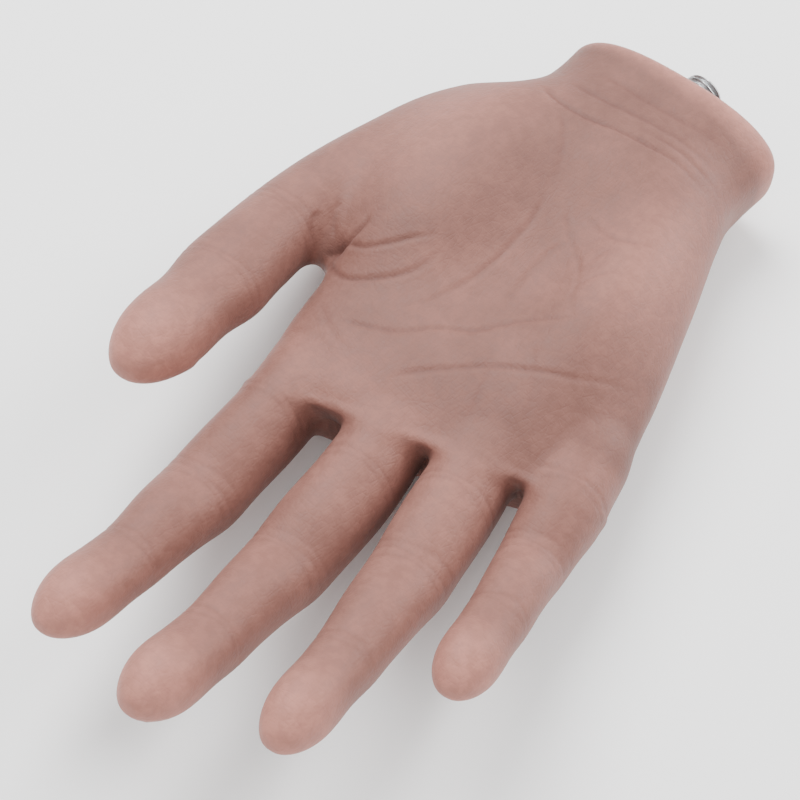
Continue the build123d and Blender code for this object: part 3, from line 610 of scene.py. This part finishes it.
def rosy_areas(vertices, normals):
    """How rosy the cuff's rim, the ball of the thumb, the heel and the fingers' roots are; at the rim this is
    partly a painted highlight and glow on the thin edge.
    """
    x, y = vertices[:, 0], vertices[:, 1]
    # painted highlight and glow at the cuff's rim, mixed with its rosy tone
    areas = [smooth_step(RIM_Y - RIM_GLOW_FROM, RIM_Y - RIM_GLOW_TO, y)]
    for middle_x, middle_y, across_size, along_size, strength in ROSY_AREAS:
        spread = np.exp(-(((x - middle_x) / across_size) ** 2) - ((y - middle_y) / along_size) ** 2)
        areas.append(strength * spread)
    pads_y, pads_size, strength = ROSY_PADS
    pads = np.exp(-(((y - pads_y) / pads_size) ** 2)) * smooth_step(0, 0.5, normals[:, 2])
    areas.append(strength * pads)
    return np.maximum.reduce(areas)


def add_relief(vertices, normals):
    """Height of the fine relief, with the painted crease shade and the rosy tone (partly painted glow) that go
    with it, at every vertex.
    """
    height, tint, pink = (np.zeros(len(vertices)) for _ in range(3))
    for side, x, y, across_size, along_size, turn, amount in RELIEF:
        across, along = turned(vertices[:, 0] - x, vertices[:, 1] - y, turn)
        spread = np.exp(-((across / across_size) ** 2) - (along / along_size) ** 2)
        height += amount * spread * smooth_step(0.0, 0.6, side * normals[:, 2])
    for line, half_width, amount in TENDONS:
        add_line(vertices, -normals[:, 2], line, -amount, half_width, 0, height, tint)
    for line, depth, half_width, strength in PALM_LINES:
        add_line(vertices, normals[:, 2], line, LINE_DEPTH * depth, half_width, LINE_SHADE * strength,
                 height, tint)
    x, y, size, depth = WEB_POCKET
    pocket = np.exp(-((vertices[:, 0] - x) ** 2 + (vertices[:, 1] - y) ** 2) / size**2)
    pocket *= smooth_step(-0.1, 0.3, normals[:, 2])
    height -= depth * pocket
    # painted shade in the pucker of the thumb's web
    tint[:] = np.maximum(tint, WEB_POCKET_SHADE * pocket)
    for name, (limb, marks) in LIMBS.items():
        finger_marks(name, limb, marks, vertices, normals, height, tint, pink)
    return height, tint, np.maximum(pink, rosy_areas(vertices, normals))


# ---- pieces ----------------------------------------------------------------------------------------
def make_object(name, vertices, faces, material, normals=None, **attributes):
    """Mesh object in metres from points in millimetres, smooth, with values at its vertices."""
    mesh = bpy.data.meshes.new(name)
    mesh.from_pydata((vertices * MM).tolist(), [], [list(face) for face in faces])
    mesh.shade_smooth()
    for key, values in attributes.items():
        mesh.attributes.new(key, "FLOAT", "POINT").data.foreach_set("value", values.astype(np.float32))
    if normals is not None:
        mesh.normals_split_custom_set_from_vertices(normals.tolist())
    mesh.materials.append(material)
    item = bpy.data.objects.new(name, mesh)
    bpy.context.scene.collection.objects.link(item)
    return item


def skin_piece(name, skin, chosen, material):
    """The chosen faces of the whole skin as a piece of its own, with the whole skin's normals."""
    faces = skin["quads"][chosen]
    used, renumbered = np.unique(faces, return_inverse=True)
    return make_object(name, skin["vertices"][used], renumbered.reshape(faces.shape).tolist(), material,
                       skin["normals"][used], tint=skin["tint"][used], pink=skin["pink"][used])


# ---- materials -------------------------------------------------------------------------------------
class Nodes:
    """Short way to write a material's nodes."""

    def __init__(self, name):
        self.material = bpy.data.materials.new(name)
        self.material.use_nodes = True
        self.tree = self.material.node_tree
        self.shader = self.tree.nodes["Principled BSDF"]

    def add(self, kind, inputs=None, **settings):
        node = self.tree.nodes.new(kind)
        for key, value in settings.items():
            setattr(node, key, value)
        for key, value in (inputs or {}).items():
            if isinstance(value, bpy.types.NodeSocket):
                self.tree.links.new(value, node.inputs[key])
            else:
                node.inputs[key].default_value = value
        return node

    def mix(self, factor, a, b, blend="MIX"):
        node = self.add("ShaderNodeMix", data_type="RGBA", blend_type=blend)
        for key, value in ((0, factor), (6, a), (7, b)):
            if isinstance(value, bpy.types.NodeSocket):
                self.tree.links.new(value, node.inputs[key])
            elif key == 0:
                node.inputs[key].default_value = value
            else:
                node.inputs[key].default_value = (*value, 1)
        return node.outputs[2]

    def ramp(self, value, low, high, start=0.0, end=1.0):
        node = self.add("ShaderNodeMapRange", {"Value": value, "From Min": low, "From Max": high,
                                               "To Min": start, "To Max": end})
        return node.outputs[0]

    def sum_of(self, a, b, weight=1.0):
        node = self.add("ShaderNodeMath", {0: b, 1: weight, 2: a}, operation="MULTIPLY_ADD")
        return node.outputs[0]

    def link(self, output, key):
        self.tree.links.new(output, self.shader.inputs[key])

    def bump(self, height, strength, distance):
        node = self.add("ShaderNodeBump", {"Height": height, "Strength": strength, "Distance": distance})
        self.link(node.outputs[0], "Normal")


def skin_material(name, base, deep, rosy):
    """Matt silicone: mottled, rosier at the tips and rim (partly painted glow and highlight there), with painted
    shade darkening the creases, with pores and fine lines.
    """
    n = Nodes(name)
    place = n.add("ShaderNodeTexCoord").outputs["Object"]
    cloudy = n.add("ShaderNodeTexNoise", {"Vector": place, "Scale": 45.0, "Detail": 4.0, "Roughness": 0.55})
    fine = n.add("ShaderNodeTexNoise", {"Vector": place, "Scale": 420.0, "Detail": 3.0, "Roughness": 0.6})
    pink = n.add("ShaderNodeAttribute", attribute_name="pink").outputs["Fac"]
    tint = n.add("ShaderNodeAttribute", attribute_name="tint").outputs["Fac"]
    # rosy tone, with painted glow at the fingertips and a painted highlight at the cuff's rim
    colour = n.mix(pink, base, rosy)
    blush = n.ramp(cloudy.outputs["Fac"], 0.35, 0.7)
    colour = n.mix(n.ramp(blush, 0, 1, 0, 0.28), colour, rosy)
    colour = n.mix(n.ramp(fine.outputs["Fac"], 0.42, 0.62, 0.16, 0.0), colour, deep)
    # painted shade: the creases, palm lines and the thumb's web pucker are drawn towards the deep colour
    colour = n.mix(n.ramp(tint, 0, 1, 0, 0.6), colour, deep)
    n.link(colour, "Base Color")
    pores = n.add("ShaderNodeTexVoronoi", {"Vector": place, "Scale": 1500.0, "Randomness": 1.0})
    stretched = n.add("ShaderNodeMapping", {"Vector": place, "Rotation": (0, 0, 0.45),
                                            "Scale": (1.0, 0.28, 1.0)})
    lines = n.add("ShaderNodeTexVoronoi", {"Vector": stretched.outputs[0], "Scale": 760.0, "Randomness": 0.9},
                  feature="DISTANCE_TO_EDGE")
    crossed = n.add("ShaderNodeMapping", {"Vector": place, "Rotation": (0, 0, -0.5),
                                          "Scale": (0.3, 1.0, 1.0)})
    ridges = n.add("ShaderNodeTexVoronoi", {"Vector": crossed.outputs[0], "Scale": 640.0, "Randomness": 0.9},
                   feature="DISTANCE_TO_EDGE")
    weave = n.sum_of(n.ramp(lines.outputs["Distance"], 0, 0.12),
                     n.ramp(ridges.outputs["Distance"], 0, 0.12), 0.8)
    height = n.sum_of(weave, pores.outputs["Distance"], 0.9)
    height = n.sum_of(height, fine.outputs["Fac"], 1.4)
    n.bump(height, 0.2, 0.00016)
    n.link(n.ramp(fine.outputs["Fac"], 0.3, 0.7, 0.5, 0.64), "Roughness")
    n.shader.inputs["Specular IOR Level"].default_value = 0.22
    n.shader.inputs["Sheen Weight"].default_value = 0.05
    n.shader.inputs["Sheen Roughness"].default_value = 0.5
    return n.material


def hard_material(name, colour, metallic, roughness, grain, bump, stretch=(1, 1, 1)):
    """Metal, resin or foam: its colour and roughness vary over a stretched grain that is also its bump."""
    n = Nodes(name)
    place = n.add("ShaderNodeTexCoord").outputs["Object"]
    mapped = n.add("ShaderNodeMapping", {"Vector": place, "Scale": stretch}).outputs[0]
    speck = n.add("ShaderNodeTexNoise", {"Vector": mapped, "Scale": grain, "Detail": 5.0, "Roughness": 0.6})
    patch = n.add("ShaderNodeTexNoise", {"Vector": place, "Scale": grain / 12, "Detail": 2.0})
    darker = tuple(0.72 * c for c in colour)
    tone = n.mix(n.ramp(speck.outputs["Fac"], 0.3, 0.7), darker, colour)
    n.link(n.mix(n.ramp(patch.outputs["Fac"], 0.35, 0.65, 0, 0.3), tone, darker), "Base Color")
    n.link(n.ramp(speck.outputs["Fac"], 0.3, 0.7, roughness - 0.08, roughness + 0.1), "Roughness")
    n.shader.inputs["Metallic"].default_value = metallic
    n.bump(speck.outputs["Fac"], 0.4, bump)
    return n.material


SKIN_BASE, SKIN_DEEP, SKIN_ROSY = (0.146, 0.064, 0.050), (0.062, 0.019, 0.015), (0.385, 0.166, 0.130)
SKIN = skin_material("hand_silicone", SKIN_BASE, SKIN_DEEP, SKIN_ROSY)
NAIL = hard_material("nail_finish", (0.36, 0.185, 0.15), 0.0, 0.34, 900.0, 0.00002, (1, 0.2, 1))
STEEL = hard_material("turned_steel", (0.52, 0.53, 0.54), 1.0, 0.33, 1400.0, 0.00003, (1, 8, 1))
LINK_STEEL = hard_material("tumbled_steel", (0.42, 0.43, 0.45), 1.0, 0.42, 900.0, 0.00005)
PIN_STEEL = hard_material("riveted_steel", (0.55, 0.56, 0.58), 1.0, 0.30, 1200.0, 0.00003)
ALUMINIUM = hard_material("blasted_aluminium", (0.62, 0.64, 0.66), 1.0, 0.48, 2200.0, 0.00005)
FOAM = hard_material("core_foam", (0.58, 0.50, 0.38), 0.0, 0.85, 1100.0, 0.00025)
RESIN = hard_material("laminated_resin", (0.045, 0.042, 0.040), 0.0, 0.40, 700.0, 0.00006)
BLACK_STEEL = hard_material("blackened_steel", (0.10, 0.10, 0.105), 1.0, 0.40, 1300.0, 0.00003)
BY_SLOT = {"link_steel": LINK_STEEL, "pin_steel": PIN_STEEL, "frame_aluminium": ALUMINIUM, "core_foam": FOAM,
           "disc_resin": RESIN, "stud_steel": STEEL, "screw_steel": BLACK_STEEL, "nail_resin": NAIL,
           "skin_silicone": SKIN, "fingertip_silicone": SKIN, "cuff_silicone": SKIN}


def dress_cad_nodes():
    """Gives every CAD node the procedural material of its slot."""
    for part in frame["record"]["subparts"]:
        materials = frame["nodes"][part["node"]].data.materials
        materials.clear()
        materials.append(BY_SLOT[part["material_slot"]])


# ---- the skin --------------------------------------------------------------------------------------
GRID_MARGIN = 2.0         # room round the hand in the grid
GRID_BACK = -21.0         # lowest z of the grid, below the back of the hand


def make_skin():
    """The whole silicone hand as vertices, quads, normals, painted crease shade and rosy tone with painted glow.
    """
    low = np.min([limb.low for limb, _ in LIMBS.values()] + [PALM.low], 0) + FAR - GRID_MARGIN
    high = np.max([limb.high for limb, _ in LIMBS.values()] + [PALM.high], 0) - FAR + GRID_MARGIN
    low[2], high[1] = GRID_BACK, RIM_Y + GRID_MARGIN
    vertices, quads = surface_net(*sample_grid(low, high))
    vertices, normals = settle(vertices)
    height, tint, pink = add_relief(vertices, normals)
    vertices = vertices + height[:, None] * normals
    return dict(vertices=vertices, quads=quads, normals=vertex_normals(vertices, quads), tint=tint, pink=pink)


# Where each finger's skin starts, from its root hinge
FINGER_START = {"index": -4.5, "middle": -7.0, "ring": -4.0, "pinky": -1.5}
FINGER_REACH = 4.0        # a face further than this from every finger stays with the palm
# The thumb's skin, from its swing axis and then from its root hinge
SWING_START, SWING_END = -2.5, 4.9
SWING_CLEAR = 3.0         # nearer the axis than this, no face belongs to the thumb beyond its base
THUMB_WEB_Y = -90.0       # past the web, faces nearer the axis than that stay with the palm
THUMB_START, THUMB_BEND_END = -2.8, 9.0


def share_out(skin):
    """Number of the piece that each face belongs to, and the list of piece names."""
    centres = skin["vertices"][skin["quads"]].mean(1)
    owner = np.zeros(len(centres), int)
    names = ["palm"]
    distances = np.stack([limb_distance(LIMBS[name][0], centres) for name in FINGERS], 1)
    nearest = distances.argmin(1)
    for number, name in enumerate(FINGERS):
        mine = np.nonzero((nearest == number) & (distances[:, number] < FINGER_REACH))[0]
        along = LIMBS[name][0].local(centres[mine])[0]
        for part, start in enumerate(finger_borders(name)):
            names.append(f"{name}_{part}")
            owner[mine[along > start]] = len(names) - 1
    limb, marks = LIMBS["thumb"]
    along = limb.local(centres)[0]
    swing = swing_offset(centres)
    free = (owner == 0) & (swing > SWING_START) & ((centres[:, 1] > THUMB_WEB_Y) | (swing > SWING_CLEAR))
    names += ["thumb_0", "thumb_1", "thumb_2"]
    owner[free] = len(names) - 3
    beyond = free & (swing > SWING_CLEAR)
    owner[beyond & (along > marks[0] + THUMB_START)] = len(names) - 2
    owner[beyond & (along > (marks[0] + marks[1]) / 2)] = len(names) - 1
    return owner, names


def finger_borders(name):
    """Where the three pieces of a finger's skin start, along its limb."""
    root, middle, tip = LIMBS[name][1]
    return root + FINGER_START[name], (root + middle) / 2, (middle + tip) / 2


def swing_offset(points):
    """Distance from the thumb's swing axis, in the palm's plane towards the thumb."""
    joint = JOINTS["thumb_swing"]
    return (points - np.array(joint["pos_m"]) / MM) @ swing_way()


def swing_way():
    axis = JOINTS["thumb_swing"]["axis"]
    return np.array([-axis[1], axis[0], 0.0])


def bend(piece, limb, rise_at):
    """Bakes a piece's placement into its mesh; the limb's row at rise_at is looked up but not used, so nothing is
    bent.
    """
    row = limb.rows(np.array([rise_at]))[0]
    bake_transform(piece)


def make_pieces(skin):
    owner, names = share_out(skin)
    pieces = {name: skin_piece(f"skin_{name}", skin, owner == number, SKIN)
              for number, name in enumerate(names)}
    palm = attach(pieces["palm"], "palm")
    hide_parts("palm_skin", "cuff_skin")
    for name in FINGERS:
        limb, marks = LIMBS[name]
        bodies = ["palm", f"{name}_proximal", f"{name}_middle", f"{name}_distal"]
        for part, mark in enumerate(marks):
            piece = pieces[f"{name}_{part}"]
            bend(piece, limb, mark)
            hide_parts(f"{bodies[part + 1]}_skin")
    make_thumb_pieces(pieces)


def make_thumb_pieces(pieces):
    limb, marks = LIMBS["thumb"]
    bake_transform(pieces["thumb_0"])
    bend(pieces["thumb_1"], limb,
         marks[0])
    bend(pieces["thumb_2"], limb,
         marks[1])
    for part, body in enumerate(("thumb_base", "thumb_proximal", "thumb_distal")):
        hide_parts(f"{body}_skin")


# ---- nails and wrist stud ----------------------------------------------------------------------------
def closed_sheet(top, bottom):
    """Vertices and faces of a plate from two grids of points, closed round its edge."""
    rows, columns = top.shape[:2]
    vertices = np.concatenate([top.reshape(-1, 3), bottom.reshape(-1, 3)])
    number = np.arange(rows * columns).reshape(rows, columns)
    faces = []
    for i in range(rows - 1):
        for j in range(columns - 1):
            ring = [number[i, j], number[i + 1, j], number[i + 1, j + 1], number[i, j + 1]]
            faces.append(ring[::-1])
            faces.append([k + rows * columns for k in ring])
    border = [*number[0, :-1], *number[:-1, -1], *number[-1, :0:-1], *number[:0:-1, 0]]
    for a, b in zip(border, border[1:] + border[:1]):
        faces.append([a, b, b + rows * columns, a + rows * columns])
    return vertices, [[int(k) for k in face] for face in faces]


def make_nail(name, tip_length):
    """Nail let into the back of a fingertip: arched across, rounded at its root and its free edge."""
    limb, marks = LIMBS[name]
    centre = marks[-1] + NAIL_CENTRE * tip_length
    a, b = np.meshgrid(np.linspace(-1, 1, NAIL_ROWS), np.linspace(-1, 1, NAIL_COLUMNS), indexing="ij")
    along = centre + NAIL_LENGTH * tip_length / 2 * a * (1 - 0.16 * b**2)
    angle = NAIL_HALF_ANGLE * b * (1 - 0.12 * np.clip(-a, 0, 1) ** 3 - 0.1 * np.clip(a, 0, 1) ** 3)
    points, out = limb.surface(along.ravel(), angle.ravel())
    points, out = points.reshape(*a.shape, 3), out.reshape(*a.shape, 3)
    edge = np.maximum(np.abs(b), np.where(a < 0, -a, 0.55 * a))
    lift = NAIL_LIFT - NAIL_EDGE_DROP * smooth_step(0.72, 1.0, edge)
    top = points + out * lift[..., None]
    bottom = top - out * NAIL_THICKNESS
    vertices, faces = closed_sheet(top, bottom)
    nail = make_object(f"nail_{name}", vertices, faces, NAIL)
    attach(nail, f"{name}_distal")
    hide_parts(f"{name}_nail")


def make_stud():
    """M12 stud with its thread as a real helix, a plain relief in the disc and a chamfered end."""
    low, high = (np.array(corner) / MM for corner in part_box("wrist_stud"))
    radius, core, pitch, chamfer = 6.0, 5.1, 1.5, 1.0
    neck, neck_radius, neck_taper = (-3.2, -0.8), 5.1, 0.4
    around, step = 60, pitch / 8
    places = np.arange(low[1], high[1] + step / 2, step)
    y, angle = np.meshgrid(places, np.linspace(0, 2 * np.pi, around, endpoint=False), indexing="ij")
    phase = (y / pitch - angle / (2 * np.pi)) % 1
    thread = core + (radius - core) * np.clip(1.25 - 2.5 * np.abs(phase - 0.5), 0, 1)
    relief = smooth_step(neck[0] - neck_taper, neck[0], y) * smooth_step(neck[1] + neck_taper, neck[1], y)
    reach = np.minimum(radius, radius - chamfer + np.minimum(y - low[1], high[1] - y))
    r = np.minimum(thread * (1 - relief) + neck_radius * relief, reach)
    vertices = np.stack([r * np.cos(angle), y, r * np.sin(angle)], -1).reshape(-1, 3)
    number = np.arange(len(vertices)).reshape(len(places), around)
    following = np.roll(number, -1, 1)
    ring = [number[:-1], following[:-1], following[1:], number[1:]]
    faces = np.stack(ring, -1).reshape(-1, 4)[:, ::-1].tolist()
    faces += [number[0].tolist(), number[-1, ::-1].tolist()]
    stud = make_object("threaded_stud", vertices, faces, STEEL)
    stud.data.set_sharp_from_angle(angle=0.6)
    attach(stud, "palm")
    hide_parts("wrist_stud")


# ---- floor, light and camera, in metres --------------------------------------------------------------
FLOOR_HALF, FLOOR_GAP = 4.0, 0.0008      # half its width, and how far it lies under the hand
FLOOR_TONES = (0.95, 0.95, 0.95), (0.97, 0.97, 0.97)
WORLD_STRENGTH = 0.95
LAMP_AIM = (0.02, -0.08, 0.0)
# Lamps: name, place, size and power in watts
LAMPS = [
    ("key", (-0.45, 0.1, 0.8), 0.7, 15.0),
    ("wrist_fill", (0.25, 0.8, 0.45), 0.6, 10.0),
    ("fill", (0.5, -0.6, 0.7), 0.9, 3.5),
]
CAMERA_PLACE = (0.1531, -0.2318, 0.2806)
CAMERA_RIGHT, CAMERA_UP = (0.6934, 0.7201, -0.006), (-0.5926, 0.5747, 0.564)
CAMERA_BACK = (0.4099, -0.3873, 0.825)
SENSOR_WIDTH, FOCAL_LENGTH = 36.0, 69.9  # in millimetres


def make_floor():
    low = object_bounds()[0][2] - FLOOR_GAP
    size = FLOOR_HALF
    corners = np.array([(-size, -size, low), (size, -size, low), (size, size, low), (-size, size, low)]) / MM
    n = Nodes("studio_floor")
    place = n.add("ShaderNodeTexCoord").outputs["Object"]
    faint = n.add("ShaderNodeTexNoise", {"Vector": place, "Scale": 3.0, "Detail": 2.0})
    n.link(n.mix(faint.outputs["Fac"], *FLOOR_TONES), "Base Color")
    n.shader.inputs["Roughness"].default_value = 0.9
    floor = make_object("studio_floor", corners, [(0, 1, 2, 3)], n.material)


def add_area_light(name, place, size, power):
    light = bpy.data.lights.new(name, "AREA")
    light.shape, light.size, light.energy = "DISK", size, power
    item = bpy.data.objects.new(name, light)
    item.location = place
    item.rotation_mode = "QUATERNION"
    item.rotation_quaternion = (Vector(LAMP_AIM) - Vector(place)).to_track_quat("-Z", "Y")
    bpy.context.scene.collection.objects.link(item)


def light_scene():
    world = bpy.data.worlds.new("studio")
    world.use_nodes = True
    world.node_tree.nodes["Background"].inputs["Color"].default_value = (1, 1, 1, 1)
    world.node_tree.nodes["Background"].inputs["Strength"].default_value = WORLD_STRENGTH
    bpy.context.scene.world = world
    for name, place, size, power in LAMPS:
        add_area_light(name, place, size, power)


def place_camera():
    """Camera high over the little finger's side, turned so that the fingers point to the lower left."""
    camera = bpy.data.cameras.new("camera")
    camera.sensor_width, camera.lens = SENSOR_WIDTH, FOCAL_LENGTH
    item = bpy.data.objects.new("camera", camera)
    turn = Matrix((CAMERA_RIGHT, CAMERA_UP, CAMERA_BACK)).transposed()
    item.matrix_world = Matrix.Translation(CAMERA_PLACE) @ turn.to_4x4()
    bpy.context.scene.collection.objects.link(item)
    bpy.context.scene.camera = item


def main():
    dress_cad_nodes()
    make_pieces(make_skin())
    for name, spec in FINGERS.items():
        make_nail(name, spec["tip"][1])
    make_nail("thumb", THUMB["tip"][1])
    make_stud()
    make_floor()
    light_scene()
    place_camera()


main()
